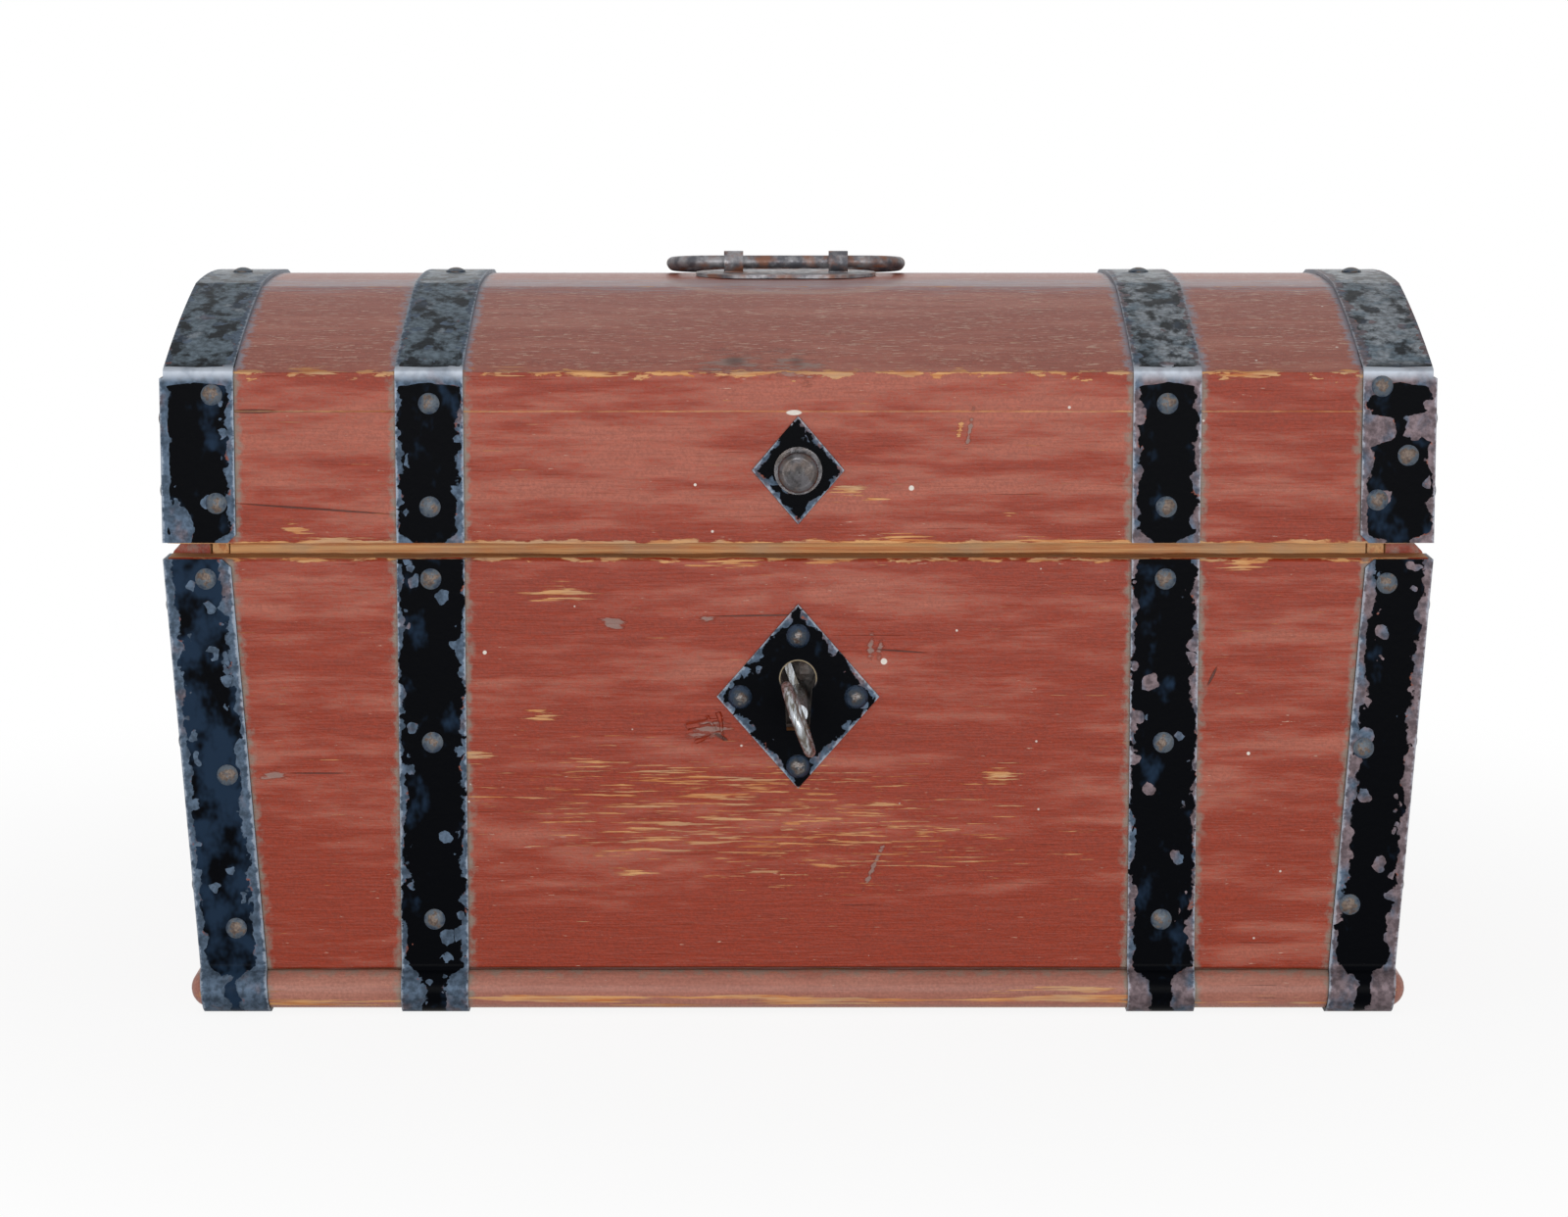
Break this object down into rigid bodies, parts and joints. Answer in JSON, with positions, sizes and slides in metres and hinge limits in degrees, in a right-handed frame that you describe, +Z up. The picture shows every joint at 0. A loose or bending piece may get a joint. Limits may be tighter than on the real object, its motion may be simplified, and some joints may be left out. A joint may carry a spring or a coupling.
{
  "type": "dome top box",
  "caption": "Painted pine storage box with leaning ends, a hinged domed lid of staves, iron straps, a bail handle, a knob and a key lock.",
  "frame": {"origin": "in the middle of the flat underside that the box stands on", "axes": "+X along the length to the right as seen from the front, +Y from front to back, +Z up"},
  "size_m": [0.4234, 0.3007, 0.2483],
  "materials": {
    "painted_pine": "worn red-brown paint on pine",
    "raw_pine": "bare pine, aged yellow",
    "black_strap_iron": "chipped black japan on strap iron",
    "nail_iron": "forged, blackened",
    "rusted_iron": "brown with rust",
    "worn_steel": "handled, worn bright",
    "lock_iron": "dark forged iron"
  },
  "bodies": {
    "base": {"front_board": "painted_pine", "back_board": "painted_pine", "left_end_board": "painted_pine", "right_end_board": "painted_pine", "bottom_board": "painted_pine", "front_lip": "raw_pine", "left_lip": "raw_pine", "right_lip": "raw_pine", "base_strap_front_left": "black_strap_iron", "base_strap_front_right": "black_strap_iron", "base_strap_back_left": "black_strap_iron", "base_strap_back_right": "black_strap_iron", "base_corner_front_left": "black_strap_iron", "base_corner_front_right": "black_strap_iron", "base_corner_back_left": "black_strap_iron", "base_corner_back_right": "black_strap_iron", "hinge_pin_left": "lock_iron", "hinge_pin_right": "lock_iron", "base_strap_nails": "nail_iron", "keyhole_plate": "black_strap_iron", "keyhole_plate_nails": "nail_iron", "lock_plate": "lock_iron", "lock_case": "lock_iron", "bolt_spring": "lock_iron", "lock_nails": "nail_iron"},
    "lid": {"lid_front_board": "painted_pine", "lid_back_board": "painted_pine", "lid_left_end": "painted_pine", "lid_right_end": "painted_pine", "front_stave": "painted_pine", "crown_stave": "painted_pine", "back_stave": "painted_pine", "lid_strap_left": "black_strap_iron", "lid_strap_right": "black_strap_iron", "lid_corner_strap_left": "black_strap_iron", "lid_corner_strap_right": "black_strap_iron", "lid_strap_nails": "nail_iron", "knob_plate": "black_strap_iron", "lid_knob": "black_strap_iron", "lock_catch": "lock_iron", "catch_nails": "nail_iron", "handle_plate": "rusted_iron", "handle_eye_left": "rusted_iron", "handle_eye_right": "rusted_iron"},
    "handle": {"handle_bail": "rusted_iron"},
    "key": {"key": "worn_steel"},
    "bolt": {"lock_bolt": "lock_iron"}
  },
  "joints": [
    {"name": "lid_hinge", "type": "hinge", "parent": "base", "child": "lid", "pos_m": [0, 0.12435, 0.15605], "axis": [-1, 0, 0], "range_deg": [0, 110]},
    {"name": "handle_swing", "type": "hinge", "parent": "lid", "child": "handle", "pos_m": [-0.004, 0, 0.24455], "axis": [1, 0, 0], "range_deg": [0, 191]},
    {"name": "key_turn", "type": "hinge", "parent": "base", "child": "key", "pos_m": [0, -0.121, 0.106], "axis": [0, 1, 0], "range_deg": [0, 58]},
    {"name": "bolt_slide", "type": "slide", "parent": "base", "child": "bolt", "axis": [1, 0, 0], "range_m": [0, 0.0104]}
  ],
  "couplings": [
    {"joint": "bolt_slide", "follows": "key_turn", "m_per_rad": 0.0093846}
  ]
}
